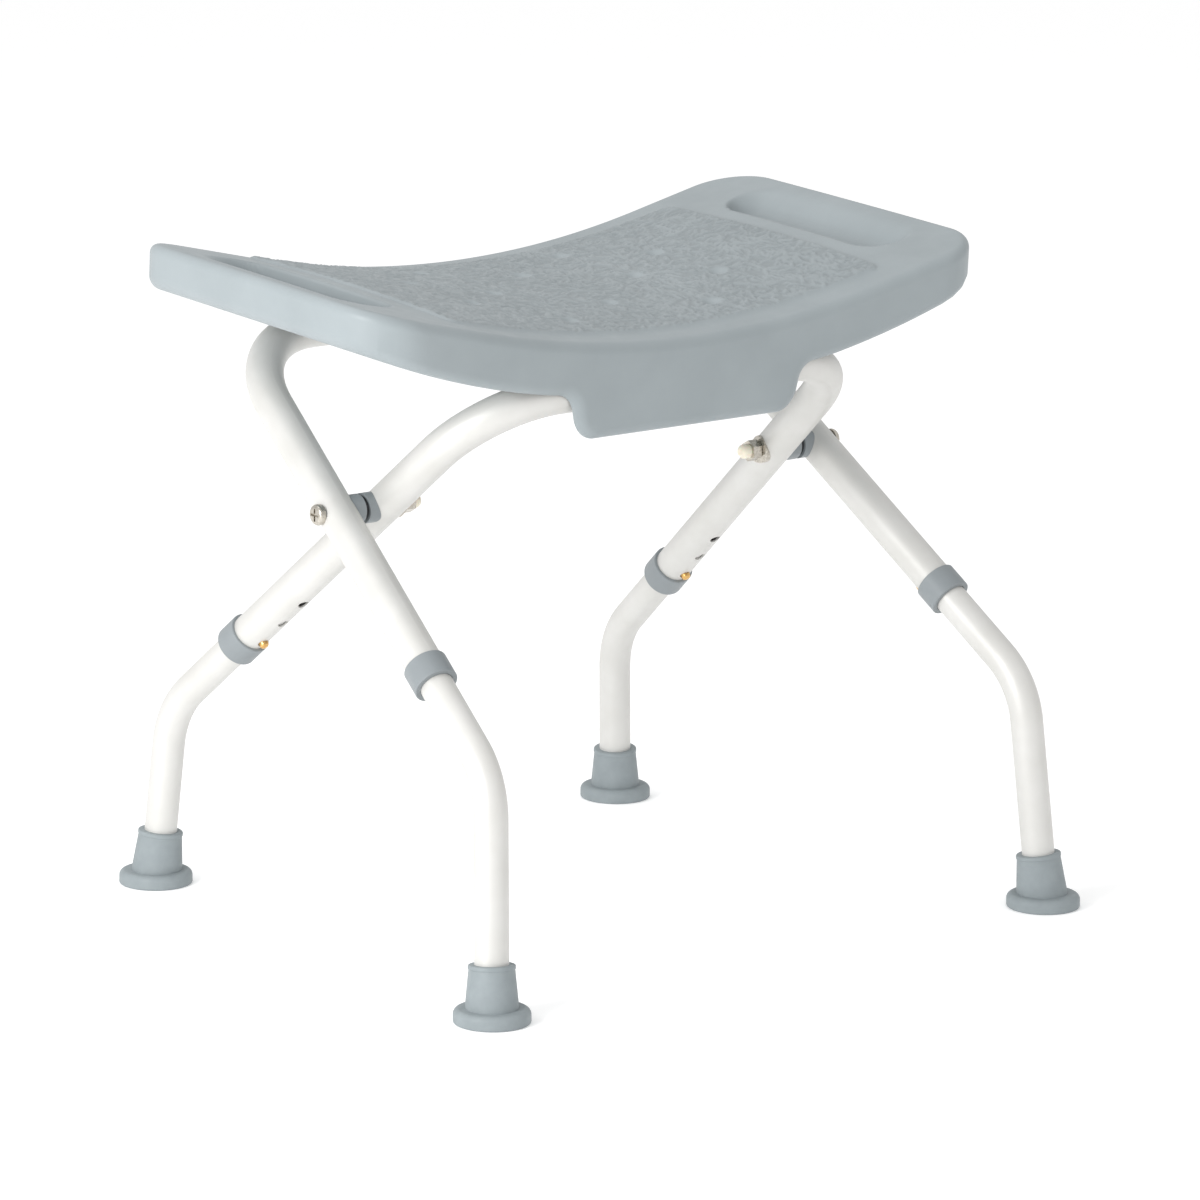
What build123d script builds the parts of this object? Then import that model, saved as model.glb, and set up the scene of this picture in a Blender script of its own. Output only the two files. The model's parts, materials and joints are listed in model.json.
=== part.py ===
from build123d import *
import os
from math import asin, cos, hypot, radians, sin, tan

# A folding shower stool: a dished plastic seat on two crossed aluminium U-frames with telescoping legs.
# Units are millimetres. +Z is up, X runs along the seat and both crossbars, -Y is the user's side.
# The origin is on the floor, midway between the feet, straight under the pivot axis.
# The outer frame carries the far crossbar and the near feet, and the inner frame the other two.

# ---- driving dimensions -------------------------------------------------------------------------

UPPER_OD = 25.4
UPPER_ID = 23.0
LOWER_OD = 22.2
LOWER_ID = 19.8
PIVOT_Z = 292.0
HOLE_PITCH = 25.0
ADJUST_STEPS = 2
KNEE_R = 58.0

# side is +1 where the crossbar is on the far side. lean is the slope's angle from upright. splay is
# the outward run of a leg per unit of slope. Distances bar, button, collar and knee are measured
# along the slope from the pivot. foot is where the tube's line meets the floor.
OUTER = {
    "name": "outer", "side": 1, "pivot_x": 206.9, "lean": 54.15, "splay": 0.0945, "bar": 161.2,
    "bend_r": 69.7, "button": 130.0, "collar": 136.8, "knee": 235.8, "foot": (238.5, 206.0),
}
INNER = {
    "name": "inner", "side": -1, "pivot_x": 168.7, "lean": 49.45, "splay": 0.1003, "bar": 123.0,
    "bend_r": 66.7, "button": 154.7, "collar": 161.5, "knee": 261.4, "foot": (203.2, 206.0),
}
FRAMES = (OUTER, INNER)
SIDES = (("left", -1), ("right", 1))

SEAT_LENGTH = 528.0
SEAT_DEPTH = 271.0
SEAT_CORNER_R = 42.0
SEAT_Y = 22.0
SEAT_Z = 408.8
SEAT_TILT = 3.15
DISH_R = 727.0
DISH_HALF = 170.0
DISH_TIP_RUN = 130.0
CROWN = 6.0
CROWN_FADE_X = 170.0
CROWN_AT_END = 0.8
FADE_PAST = 20.0
FORM_REACH = 130.0
RIM_DEPTH = 36.4
RIM_DEPTH_END = 28.2
EDGE_R = 7.0
WALL = 3.2
SLOPE_DEG = 13.5

PANEL_X, PANEL_Y, PANEL_R, PANEL_RISE, PANEL_ROOT = 183.0, 110.0, 12.0, 1.2, 1.0
DRAIN_PAIRS = ((106.0, 33.0), (61.0, 80.0))
DRAINS = [(x * sx, y * sy) for x, y in DRAIN_PAIRS for sx in (-1, 1) for sy in (-1, 1)]
DRAINS += [(0, -46.5), (0, 46.5), (-61.0, 0), (61.0, 0)]
DRAIN_R, DIMPLE_R, DIMPLE_DEPTH, POST_R = 2.2, 6.0, 3.4, 5.6
GRIP_X, GRIP_WIDTH, GRIP_LENGTH = 224.0, 44.0, 164.0
GRIP_DEPTH, GRIP_R, GRIP_FLOOR_R = 13.0, 20.0, 9.0

# The apron is a skirt along the near side. Its ends lean in by APRON_DRAFT between its top and bottom.
APRON_X, APRON_DEPTH, APRON_TOP, APRON_BOTTOM = 104.0, 12.0, -20.0, -59.5
APRON_R, APRON_FLARE, APRON_DRAFT = 20.0, 14.0, 8.4

FOOT_H, FOOT_BASE_R, FOOT_BASE_H = 37.0, 25.0, 9.5
FOOT_NECK_R, FOOT_SHOULDER_R, FOOT_FLOOR = 14.6, 18.0, 6.0
FOOT_NECK_START, FOOT_LIP_H, FOOT_LIP_OUT = 3.0, 3.2, 0.7
FOOT_TOP_R, FOOT_UNDER_R, FOOT_LIP_R = 4.0, 1.5, 1.0
PAD_R, PAD_H = 10.6, 2.0

COLLAR_R, COLLAR_L, COLLAR_BORE_UP, COLLAR_BORE_LOW, COLLAR_LIP = 14.8, 18.0, 12.75, 11.4, 3.0
COLLAR_EDGE_R, TUBE_END_GAP = 0.8, 0.5

BOLT_R, BOLT_HEAD_R, BOLT_HEAD_H, BOLT_FIT, HEAD_GAP = 3.0, 7.0, 4.2, 0.06, 0.75
BOLT_DOME_R, CROSS_ARM, CROSS_WIDTH, CROSS_DEPTH = 2.6, 8.4, 1.6, 3.2
NUT_WIDTH, NUT_H, BOLT_BEYOND_NUT, CAP_R, CAP_H, CAP_DOME_R = 12.7, 7.5, 2.0, 4.9, 7.0, 3.4
SPACER_R, SPACER_FIT, WASHER_R, WASHER_H, STACK_GAP = 10.2, 0.3, 8.5, 1.2, 0.3
SADDLE_R, SADDLE_T, SADDLE_FIT, NUT_GAP, NUT_STANDOFF = 9.5, 2.3, 0.05, 0.3, 2.7
PAST_SEAT = 300.0

BUTTON_R, BUTTON_OUT, BUTTON_FLANGE_R, BUTTON_FLANGE_H = 3.3, 3.4, 4.6, 1.0
BUTTON_HOLE_R, BUTTON_STOP, BUTTON_DOME_R = 3.7, 1.3, 2.6
CLIP_W, CLIP_T, CLIP_LEAF, CLIP_REACH, CLIP_BACK, CLIP_BEND_R = 6.0, 0.6, 8.0, 30.0, 1.6, 2.5

STRAP_X, STRAP_W, STRAP_T, STRAP_FIT = 72.0, 20.0, 3.4, 0.08
STRAP_EAR, STRAP_ROOM, STRAP_CORNER_R = 11.6, 0.6, 3.0
SCREW_OFFSET, SCREW_R, SCREW_HEAD_R, SCREW_HEAD_H, SCREW_L = 7.4, 2.0, 3.7, 2.4, 11.0
SCREW_DOME_R, SCREW_CLEAR, SCREW_CROSS_ARM, SCREW_CROSS_WIDTH = 1.4, 0.2, 4.6, 1.0
SCREW_POST_D, SCREW_POST_H, STRAP_GAP = 16.0, 40.0, 0.02

# Each slot's near and far edges in Y from its crossbar's axis, and its half length.
HINGE_SLOT = (-22.0, 14.0, 166.0)
REST_SLOT = (-13.7, 29.5, 136.0)
SLOT_ROOF, SLOT_HEIGHT = 0.9, 100.0
REST_X, REST_W, REST_OPEN, REST_FIT = 48.0, 16.0, 4.0, 0.3
BLOCK_OVERLAP = 2.0

LOW = (Align.CENTER, Align.CENTER, Align.MIN)


# ---- frames of reference ------------------------------------------------------------------------

def slope_plane(frame):
    """The plane that a U-frame lies in: x along its crossbar, y up its slope, origin on the pivot axis."""
    a, s = radians(frame["lean"]), frame["side"]
    return Plane(origin=(0, 0, PIVOT_Z), x_dir=(1, 0, 0), z_dir=(0, -cos(a), s * sin(a)))


def under(frame):
    """The direction out of the underside of a frame's slope."""
    return slope_plane(frame).z_dir * -frame["side"]


def leg_down(frame, sx):
    """The direction down an upper tube."""
    a = radians(frame["lean"])
    return Vector(sx * frame["splay"], -frame["side"] * sin(a), -cos(a)).normalized()


def leg_point(frame, sx, slope):
    """The point on a leg's centre line at a distance down the slope from the pivot axis."""
    a = radians(frame["lean"])
    x = frame["pivot_x"] + frame["splay"] * slope
    return Vector(sx * x, -frame["side"] * sin(a) * slope, PIVOT_Z - cos(a) * slope)


def leg_plane(frame, sx, slope):
    """A plane across a leg, with z down the tube and x out of its underside."""
    return Plane(origin=leg_point(frame, sx, slope), x_dir=under(frame), z_dir=leg_down(frame, sx))


def foot_point(frame, sx):
    """Where a leg's line meets the floor."""
    x, y = frame["foot"]
    return Vector(sx * x, -frame["side"] * y, 0)


def seat_place():
    """Carries the seat's own frame, level with z = 0 on its middle rim line, to its tilted place."""
    return Location((0, SEAT_Y, SEAT_Z), (SEAT_TILT, 0, 0))


def in_seat(point):
    """A point of the row frame in the seat's own frame."""
    return Plane(seat_place()).to_local_coords(Vector(*point))


def bar_point(frame):
    """The middle of a frame's crossbar."""
    a = radians(frame["lean"])
    return Vector(0, frame["side"] * sin(a) * frame["bar"], PIVOT_Z + cos(a) * frame["bar"])


def along_x(radius, x0, x1, y=0.0, z=PIVOT_Z):
    """A cylinder along X between two stations."""
    plane = Plane(origin=((x0 + x1) / 2, y, z), z_dir=(1, 0, 0))
    return plane * Cylinder(radius, abs(x1 - x0))


# ---- tubes --------------------------------------------------------------------------------------

def upper_path(frame):
    """The centre line of a U-frame, from one lower tube end to the other."""
    end = frame["collar"] + COLLAR_L - COLLAR_LIP - TUBE_END_GAP
    bar = frame["bar"]
    wide = frame["pivot_x"] + frame["splay"] * end
    narrow = frame["pivot_x"] - frame["splay"] * bar
    points = [(-wide, -end), (-narrow, bar), (narrow, bar), (wide, -end)]
    return slope_plane(frame) * FilletPolyline(*points, radius=frame["bend_r"])


def swept(path, radius):
    """A round bar along a path."""
    start = Plane(origin=path @ 0, z_dir=path % 0)
    return sweep(start * Circle(radius), path=path)


def u_frame(frame):
    """A bent tube with pivot holes and three adjustment holes in each leg's underside."""
    path = upper_path(frame)
    tube = swept(path, UPPER_OD / 2) - swept(path, UPPER_ID / 2)
    for _, sx in SIDES:
        x = sx * frame["pivot_x"]
        tube -= along_x(BOLT_R + BOLT_FIT, x - UPPER_OD, x + UPPER_OD)
        for step in range(ADJUST_STEPS + 1):
            here = leg_plane(frame, sx, frame["button"] - step * HOLE_PITCH * slope_ratio(frame))
            tube -= button_hole(here, UPPER_OD)
    return tube


def button_hole(here, length):
    """A tool for a snap button's hole, from a tube's centre out of its underside."""
    return Plane(origin=here.origin, z_dir=here.x_dir) * Cylinder(BUTTON_HOLE_R, length, align=LOW)


def slope_ratio(frame):
    """Distance down the slope for each unit along a splayed tube."""
    return 1 / hypot(1, frame["splay"])


def lower_path(frame, sx):
    """The centre line of a lower leg: up inside the upper tube, round the knee, down into the foot."""
    top = leg_point(frame, sx, frame["button"] - 1.5 * HOLE_PITCH)
    knee = leg_point(frame, sx, frame["knee"])
    foot = foot_point(frame, sx)
    down = (foot - knee).normalized()
    end = foot - down * (FOOT_FLOOR + PAD_H) * (1 / abs(down.Z))
    return FilletPolyline(top, knee, end, radius=KNEE_R)


def lower_leg(frame, sx):
    """The telescoping lower tube, with its knee bend and the hole for its snap button."""
    path = lower_path(frame, sx)
    tube = swept(path, LOWER_OD / 2) - swept(path, LOWER_ID / 2)
    return tube - button_hole(leg_plane(frame, sx, frame["button"]), LOWER_OD)


def collar(frame, sx):
    """A plastic sleeve on the upper tube's end, with a lip that guides the lower tube."""
    body = fillet(Cylinder(COLLAR_R, COLLAR_L, align=LOW).edges(), COLLAR_EDGE_R)
    body -= Cylinder(COLLAR_BORE_UP, COLLAR_L - COLLAR_LIP, align=LOW)
    body -= Cylinder(COLLAR_BORE_LOW, COLLAR_L, align=LOW)
    return leg_plane(frame, sx, frame["collar"]) * body


# ---- snap button clips --------------------------------------------------------------------------

def button_clip(frame, sx):
    """A V of spring steel inside the lower tube, with a domed button riveted to its outer leaf."""
    here = leg_plane(frame, sx, frame["button"])
    out = Plane(origin=here.origin, z_dir=here.x_dir)
    flange_base = LOWER_ID / 2 - BUTTON_STOP - BUTTON_FLANGE_H
    front = flange_base - CLIP_T / 2
    back = CLIP_BACK - LOWER_ID / 2
    ends = ((front, CLIP_LEAF), (front, -CLIP_LEAF), (0, -CLIP_REACH), (back, -CLIP_LEAF), (back, CLIP_LEAF))
    leaf = offset(FilletPolyline(*ends, radius=CLIP_BEND_R), CLIP_T / 2)
    spring = here * extrude(Plane.XZ * make_face(leaf.edges()), CLIP_W / 2, both=True)
    pin = Pos(0, 0, front) * Cylinder(BUTTON_R, UPPER_OD / 2 + BUTTON_OUT - front, align=LOW)
    pin = fillet(pin.edges().group_by(Axis.Z)[-1], BUTTON_DOME_R)
    flange = Pos(0, 0, front) * Cylinder(BUTTON_FLANGE_R, BUTTON_FLANGE_H + CLIP_T / 2, align=LOW)
    return spring + out * (pin + flange)


# ---- feet ---------------------------------------------------------------------------------------

def foot_plane(frame, sx):
    """A plane on the floor under a leg, with z up the leg's lower run."""
    foot = foot_point(frame, sx)
    return Plane(origin=foot, z_dir=leg_point(frame, sx, frame["knee"]) - foot)


def foot_tip(frame, sx):
    """A rubber ferrule: a flat round base and a leaning neck with a socket for the tube."""
    place = foot_plane(frame, sx)
    base = Cylinder(FOOT_BASE_R, FOOT_BASE_H, align=LOW)
    base = fillet(base.edges().group_by(Axis.Z)[-1], FOOT_TOP_R)
    base = fillet(base.edges().group_by(Axis.Z)[0], FOOT_UNDER_R)
    neck = Cone(FOOT_SHOULDER_R, FOOT_NECK_R, FOOT_H - FOOT_NECK_START, align=LOW)
    lip = fillet(Cylinder(FOOT_NECK_R + FOOT_LIP_OUT, FOOT_LIP_H, align=LOW).edges(), FOOT_LIP_R)
    leaning = Pos(0, 0, FOOT_NECK_START) * neck + Pos(0, 0, FOOT_H - FOOT_LIP_H) * lip
    socket = Pos(0, 0, FOOT_FLOOR) * Cylinder(LOWER_OD / 2, FOOT_H, align=LOW)
    return Pos(*foot_point(frame, sx)) * base + place * leaning - place * socket


def foot_disc(frame, sx):
    """The steel disc in a foot's socket, which keeps the tube from cutting through the rubber."""
    return foot_plane(frame, sx) * Pos(0, 0, FOOT_FLOOR) * Cylinder(PAD_R, PAD_H, align=LOW)


# ---- pivots -------------------------------------------------------------------------------------

MIDDLE_X = (OUTER["pivot_x"] + INNER["pivot_x"]) / 2


def leg_bar(frame, sx, radius):
    """A solid bar on a leg's upper line, used to cut what wraps round the tube."""
    middle = Plane(origin=leg_point(frame, sx, 0), z_dir=leg_down(frame, sx))
    return middle * Cylinder(radius, 5 * UPPER_OD)


def spacer(frame, sx, inward):
    """A plastic saddle: flat towards the middle of the gap, hollowed to sit on its tube."""
    flat = MIDDLE_X - inward * (STACK_GAP / 2 + WASHER_H + STACK_GAP)
    body = along_x(SPACER_R, sx * flat, sx * frame["pivot_x"])
    body -= leg_bar(frame, sx, UPPER_OD / 2 + SADDLE_FIT)
    body -= along_x(BOLT_R + SPACER_FIT, 0, sx * PAST_SEAT)
    return max(body.solids(), key=lambda s: s.volume)


def spacers(frame):
    """Both saddles of one frame."""
    inward = 1 if frame is INNER else -1
    return [spacer(frame, sx, inward) for _, sx in SIDES]


def gap_washers(inward):
    """The steel washers that keep the saddles of the two frames apart."""
    rings = []
    for _, sx in SIDES:
        near = sx * (MIDDLE_X - inward * STACK_GAP / 2)
        far = sx * (MIDDLE_X - inward * (STACK_GAP / 2 + WASHER_H))
        rings.append(along_x(WASHER_R, near, far) - along_x(BOLT_R + BOLT_FIT, 0, sx * PAST_SEAT))
    return rings


def head_x(sx):
    """The bearing face of a bolt's head, just off the outer tube."""
    return sx * (OUTER["pivot_x"] + UPPER_OD / 2 + HEAD_GAP)


def nut_x(sx):
    """The bearing face of a nut, inside the inner tube's saddle washer."""
    return sx * (INNER["pivot_x"] - UPPER_OD / 2 - NUT_STANDOFF)


def pivot_bolt(sx):
    """A pan-head bolt with a cross recess."""
    head = head_x(sx)
    pan = along_x(BOLT_HEAD_R, head, head + sx * BOLT_HEAD_H)
    outer_edges = pan.edges().sort_by(Axis.X)
    pan = fillet(outer_edges[-1] if sx > 0 else outer_edges[0], BOLT_DOME_R)
    end = nut_x(sx) - sx * (NUT_H + BOLT_BEYOND_NUT)
    bolt = pan + along_x(BOLT_R, head + sx * BOLT_HEAD_H / 2, end)
    for wide, high in ((CROSS_WIDTH, CROSS_ARM), (CROSS_ARM, CROSS_WIDTH)):
        bolt -= Pos(head + sx * BOLT_HEAD_H, 0, PIVOT_Z) * Box(CROSS_DEPTH, wide, high)
    return bolt


def pivot_nut(sx):
    """A hexagon nut on the bolt's inner end."""
    face = nut_x(sx)
    plane = Plane(origin=(face - sx * NUT_H / 2, 0, PIVOT_Z), z_dir=(1, 0, 0))
    hexagon = RegularPolygon(NUT_WIDTH / 2, 6, major_radius=False)
    body = plane * extrude(hexagon, NUT_H / 2, both=True)
    return body - along_x(BOLT_R, 0, sx * PAST_SEAT)


def nut_cap(sx):
    """A domed plastic cap on the nut's inner face, over the end of the bolt."""
    face = nut_x(sx) - sx * NUT_H
    dome = along_x(CAP_R, face, face - sx * CAP_H)
    rims = dome.edges().sort_by(Axis.X)
    dome = fillet(rims[0] if sx > 0 else rims[-1], CAP_DOME_R)
    return dome - along_x(BOLT_R, face, face - sx * (BOLT_BEYOND_NUT + 0.1))


def saddle_washer(sx):
    """A curved steel washer between the inner tube and the nut."""
    body = along_x(SADDLE_R, nut_x(sx) + sx * NUT_GAP, sx * INNER["pivot_x"])
    body &= leg_bar(INNER, sx, UPPER_OD / 2 + SADDLE_T)
    body -= leg_bar(INNER, sx, UPPER_OD / 2 + SADDLE_FIT)
    body -= along_x(BOLT_R + BOLT_FIT, 0, sx * PAST_SEAT)
    return max(body.solids(), key=lambda s: s.volume)


# ---- seat ---------------------------------------------------------------------------------------

def dish_path(lift=0.0):
    """The seat's dished rim line: an arc with straight tangent ends, lowered by lift."""
    angle = asin(DISH_HALF / DISH_R)
    radius = DISH_R + lift
    half, rise = radius * sin(angle), radius * (1 - cos(angle)) - lift
    tip = (half + DISH_TIP_RUN * cos(angle), rise + DISH_TIP_RUN * sin(angle))
    arc = ThreePointArc((-half, rise), (0, -lift), (half, rise))
    lines = Line((-tip[0], tip[1]), (-half, rise)) + arc + Line((half, rise), tip)
    return Plane.XZ * Wire(lines.edges())


def crown_at(y):
    """The crown's height over the rim line at a distance from the middle of the seat's depth."""
    return CROWN * (1 - (2 * y / SEAT_DEPTH) ** 2)


def below_top(drop=0.0):
    """Everything under the seat's crowned top face, lowered by drop."""
    path = dish_path(drop)
    width, low = SEAT_DEPTH / 2 + 12, -FORM_REACH
    edge = crown_at(width)
    top = ThreePointArc((-width, edge), (0, CROWN), (width, edge))
    sides = Polyline((width, edge), (width, low), (-width, low), (-width, edge))
    start = Plane(origin=path @ 0, x_dir=(0, 1, 0), z_dir=path % 0)
    if start.y_dir.Z < 0:
        start = Plane(origin=path @ 0, x_dir=(0, -1, 0), z_dir=path % 0)
    return sweep(start * make_face((top + sides).edges()), path=path) & under_ends(drop)


def under_ends(drop):
    """Everything under two flat faces that slope up to the seat's ends, where the crown fades out."""
    fade, end = CROWN_FADE_X, SEAT_LENGTH / 2
    start_z = dish_height(fade) + CROWN + 0.3
    end_z = dish_height(end) + CROWN_AT_END
    past = end + FADE_PAST
    past_z = end_z + FADE_PAST * (end_z - start_z) / (end - fade)
    half = [(fade, FORM_REACH), (fade, start_z - drop), (past, past_z - drop), (past, -FORM_REACH)]
    outline = half + [(-x, z) for x, z in reversed(half)]
    return extrude(Plane.XZ * make_face(Polyline(*outline, close=True)), SEAT_DEPTH, both=True)


def above_bottom(raise_by=0.0):
    """Everything over the seat's underside, raised by raise_by, with its apron along the near side."""
    half = SEAT_LENGTH / 2 + 20
    sag = dish_height(SEAT_LENGTH / 2) - RIM_DEPTH_END + RIM_DEPTH
    bend = ((SEAT_LENGTH / 2) ** 2 + sag ** 2) / (2 * sag)
    z_at = -RIM_DEPTH + bend - (bend ** 2 - half ** 2) ** 0.5 + raise_by
    low = ThreePointArc((-half, z_at), (0, -RIM_DEPTH + raise_by), (half, z_at))
    rest = Polyline((half, z_at), (half, FORM_REACH), (-half, FORM_REACH), (-half, z_at))
    plain = extrude(Plane.XZ * make_face((low + rest).edges()), SEAT_DEPTH, both=True)
    body = plain + apron_block(raise_by)
    joins = body.edges().filter_by(Axis.Y).filter_by(lambda e: is_apron_join(e, raise_by))
    return fillet(joins, APRON_FLARE)


def apron_block(shrink):
    """The skirt along the near side, with leaning ends and rounded lower corners."""
    wide, narrow = APRON_X - shrink, APRON_X - APRON_DRAFT - shrink
    top, bottom = APRON_TOP, APRON_BOTTOM + shrink
    face = make_face(Polyline((-wide, top), (-narrow, bottom), (narrow, bottom), (wide, top), close=True))
    face = fillet(face.vertices().group_by(Axis.Y)[0], APRON_R)
    back = -SEAT_DEPTH / 2 + APRON_DEPTH - shrink
    return extrude(Plane.XZ.offset(-back) * face, SEAT_DEPTH)


def is_apron_join(edge, shrink):
    """True for the edges where the apron block leaves the underside."""
    middle = edge @ 0.5
    across = APRON_X - APRON_DRAFT < abs(middle.X) + shrink < APRON_X + shrink
    return across and shrink - RIM_DEPTH < middle.Z < APRON_TOP - 1


def dish_height(x):
    """The rim line's height at x."""
    if abs(x) <= DISH_HALF:
        return DISH_R - (DISH_R ** 2 - x ** 2) ** 0.5
    angle = asin(DISH_HALF / DISH_R)
    return DISH_R * (1 - cos(angle)) + (abs(x) - DISH_HALF) * tan(angle)


def plan(length, depth, radius, low=-150.0, high=150.0):
    """An upright prism with a rounded rectangle for its plan."""
    return extrude(Plane.XY.offset(low) * RectangleRounded(length, depth, radius), high - low)


def outer_form():
    """The seat's outside: dished, crowned and tapering, with every rim edge rounded."""
    body = plan(SEAT_LENGTH, SEAT_DEPTH, SEAT_CORNER_R) & below_top() & above_bottom()
    return fillet(body.edges().filter_by(is_rim), EDGE_R)


def inner_form():
    """The hollow of the blow-moulded seat, one wall inside its outer form."""
    box = plan(SEAT_LENGTH - 2 * WALL, SEAT_DEPTH - 2 * WALL, SEAT_CORNER_R - WALL)
    return box & below_top(WALL) & above_bottom(WALL)


def is_rim(edge):
    """True for an edge between the seat's side wall and its top or underside."""
    middle = edge @ 0.5
    upright = abs((edge % 0.5).Z) > 0.9
    in_apron = middle.Y < 0 and abs(middle.X) < APRON_X + APRON_FLARE
    on_side = max(abs(middle.X) / (SEAT_LENGTH / 2), abs(middle.Y) / (SEAT_DEPTH / 2)) > 0.93
    return on_side and (in_apron or not upright)


def slot(frame, near, far, half_x, grow=0.0):
    """The space a crossbar lies in, open below: near and far are its edges in Y from the bar's axis."""
    bar = in_seat(bar_point(frame))
    top = bar.Z + UPPER_OD / 2 + SLOT_ROOF + grow
    size = (2 * (half_x + grow), far - near + 2 * grow, SLOT_HEIGHT)
    return Pos(0, bar.Y + (near + far) / 2, top - SLOT_HEIGHT / 2) * Box(*size)


def crossbar_slots(grow=0.0):
    """The slots of the hinge bar on the far side and of the resting bar behind the apron."""
    return slot(OUTER, *HINGE_SLOT, grow) + slot(INNER, *REST_SLOT, grow)


def grip_tool(grow=0.0):
    """Both hand-grip pockets as solids: rounded troughs across the ends of the seat."""
    tools = []
    for _, sx in SIDES:
        flat = RectangleRounded(GRIP_WIDTH + 2 * grow, GRIP_LENGTH + 2 * grow, GRIP_R + grow)
        pocket = extrude(Plane.XY.offset(-GRIP_DEPTH - grow) * flat, 60)
        pocket = fillet(pocket.edges().group_by(Axis.Z)[0], GRIP_FLOOR_R + grow)
        tools.append(Pos(sx * GRIP_X, 0, dish_height(GRIP_X)) * Rot(0, -sx * SLOPE_DEG, 0) * pocket)
    return tools[0] + tools[1]


def upright(radius, x, y, low=-80.0, high=80.0):
    """An upright cylinder in the seat's own frame."""
    return Pos(x, y, (low + high) / 2) * Cylinder(radius, high - low)


def crown_height(x, y):
    """The height of the seat's top face over its own frame's level."""
    return dish_height(x) + crown_at(y)


def saddle_blocks(frame, x_mid, width, drop):
    """Solid blocks that carry a crossbar, before the bar's bore is cut."""
    bar = in_seat(bar_point(frame))
    near, far = (HINGE_SLOT if frame is OUTER else REST_SLOT)[:2]
    low, top = bar.Z - drop, bar.Z + UPPER_OD / 2 + SLOT_ROOF + BLOCK_OVERLAP
    block = Box(width, far - near + BLOCK_OVERLAP, top - low)
    y, z = bar.Y + (near + far) / 2, (low + top) / 2
    return Pos(-x_mid, y, z) * block + Pos(x_mid, y, z) * block


def screw_spots():
    """The four strap screw positions in the seat's own frame."""
    bar = in_seat(bar_point(OUTER))
    reach = UPPER_OD / 2 + SCREW_OFFSET
    return [(sx * STRAP_X, bar.Y + sy * reach, bar.Z) for _, sx in SIDES for sy in (-1, 1)]


def panel():
    """The raised panel in the middle of the seat's top, with a root in its wall."""
    return plan(2 * PANEL_X, 2 * PANEL_Y, PANEL_R) & below_top(-PANEL_RISE) - below_top(PANEL_ROOT)


def seat():
    """The blow-moulded seat: hollow, with kiss-off posts round its drains, grips, slots and saddles."""
    hinge, rest = in_seat(bar_point(OUTER)), in_seat(bar_point(INNER))
    hollow = inner_form() - crossbar_slots(WALL) - grip_tool(WALL)
    for x, y in DRAINS:
        hollow -= upright(POST_R, x, y)
    for x, y, z in screw_spots():
        hollow -= Pos(x, y, z) * Box(STRAP_W + 2 * WALL, SCREW_POST_D, SCREW_POST_H)
    body = outer_form() - hollow - crossbar_slots() - grip_tool()
    body += saddle_blocks(OUTER, STRAP_X, STRAP_W, 0) & outer_form()
    body += saddle_blocks(INNER, REST_X, REST_W, -REST_OPEN) & outer_form()
    ear = UPPER_OD / 2 + STRAP_EAR + STRAP_ROOM
    for _, sx in SIDES:
        room = Box(STRAP_W + STRAP_ROOM, 2 * ear, SLOT_HEIGHT)
        body -= Pos(sx * STRAP_X, hinge.Y, hinge.Z - SLOT_HEIGHT / 2) * room
    for bar, fit, x in ((hinge, STRAP_FIT, STRAP_X), (rest, REST_FIT, REST_X)):
        body -= Pos(0, bar.Y, bar.Z) * Rot(0, 90, 0) * Cylinder(UPPER_OD / 2 + fit, 2 * (x + STRAP_W))
    body += panel()
    for x, y in DRAINS:
        top = crown_height(x, y) + PANEL_RISE
        body -= upright(DRAIN_R, x, y)
        body -= Pos(x, y, top - DIMPLE_DEPTH / 2 + 0.25) * Cone(DRAIN_R, DIMPLE_R, DIMPLE_DEPTH + 0.5)
    for x, y, z in screw_spots():
        body -= Pos(x, y, z + (SCREW_L - STRAP_T) / 2) * Cylinder(SCREW_R, SCREW_L - STRAP_T + 0.4)
    return seat_place() * body


def hinge_strap(sx):
    """A moulded half-round strap that holds the hinge bar in its saddle."""
    hinge = in_seat(bar_point(OUTER))
    bore, thick = UPPER_OD / 2 + STRAP_FIT, STRAP_T
    ring = Rot(0, 90, 0) * Cylinder(bore + thick, STRAP_W)
    ears = Pos(0, 0, -thick / 2) * Box(STRAP_W, 2 * (UPPER_OD / 2 + STRAP_EAR), thick)
    body = fillet(ears.edges().filter_by(Axis.Z), STRAP_CORNER_R) + ring
    body -= Box(2 * STRAP_W, 4 * UPPER_OD, UPPER_OD, align=LOW)
    body -= Rot(0, 90, 0) * Cylinder(bore, 2 * STRAP_W)
    for sy in (-1, 1):
        body -= Pos(0, sy * (UPPER_OD / 2 + SCREW_OFFSET), 0) * Cylinder(SCREW_R + SCREW_CLEAR, UPPER_OD)
    return seat_place() * Pos(sx * STRAP_X, hinge.Y, hinge.Z - STRAP_GAP) * body


def strap_screws():
    """Pan-head screws that hold the straps."""
    screws = []
    for x, y, z in screw_spots():
        face = z - STRAP_T - 2 * STRAP_GAP
        head = Pos(x, y, face - SCREW_HEAD_H / 2) * Cylinder(SCREW_HEAD_R, SCREW_HEAD_H)
        head = fillet(head.edges().group_by(Axis.Z)[0], SCREW_DOME_R)
        shank = Pos(x, y, face + SCREW_L / 2) * Cylinder(SCREW_R - STRAP_GAP, SCREW_L)
        screw = head + shank
        for wide, deep in ((SCREW_CROSS_WIDTH, SCREW_CROSS_ARM), (SCREW_CROSS_ARM, SCREW_CROSS_WIDTH)):
            screw -= Pos(x, y, face - SCREW_HEAD_H) * Box(wide, deep, SCREW_HEAD_H)
        screws.append(seat_place() * screw)
    return screws


# ---- writing ------------------------------------------------------------------------------------

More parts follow.
